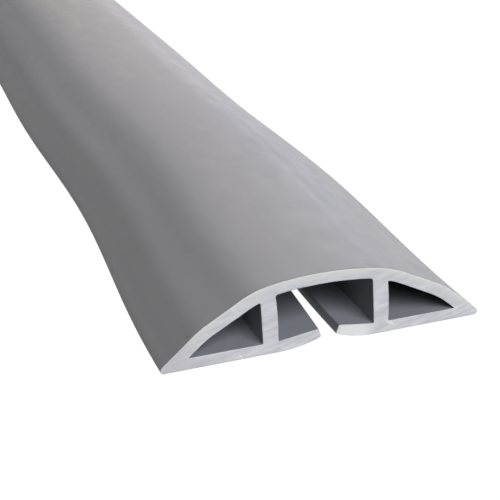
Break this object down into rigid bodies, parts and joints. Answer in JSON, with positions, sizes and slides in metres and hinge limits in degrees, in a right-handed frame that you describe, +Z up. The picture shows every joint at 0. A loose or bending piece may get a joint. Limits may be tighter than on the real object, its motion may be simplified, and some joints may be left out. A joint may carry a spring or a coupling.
{
  "type": "floor cord cover",
  "caption": "Length of flexible PVC floor cord cover: low domed extrusion with a flat base, a slit middle channel for a cord and closed side hollows.",
  "frame": {"origin": "middle of the flat base, on the floor, at the centre of the part's box", "axes": "+Y along the strip, away from the cut end in the picture; +X across it; +Z up from the floor"},
  "size_m": [0.0662, 1.524, 0.0147],
  "materials": {
    "grey_pvc": "satin"
  },
  "bodies": {
    "root": {"cord_cover": "grey_pvc"}
  },
  "joints": []
}
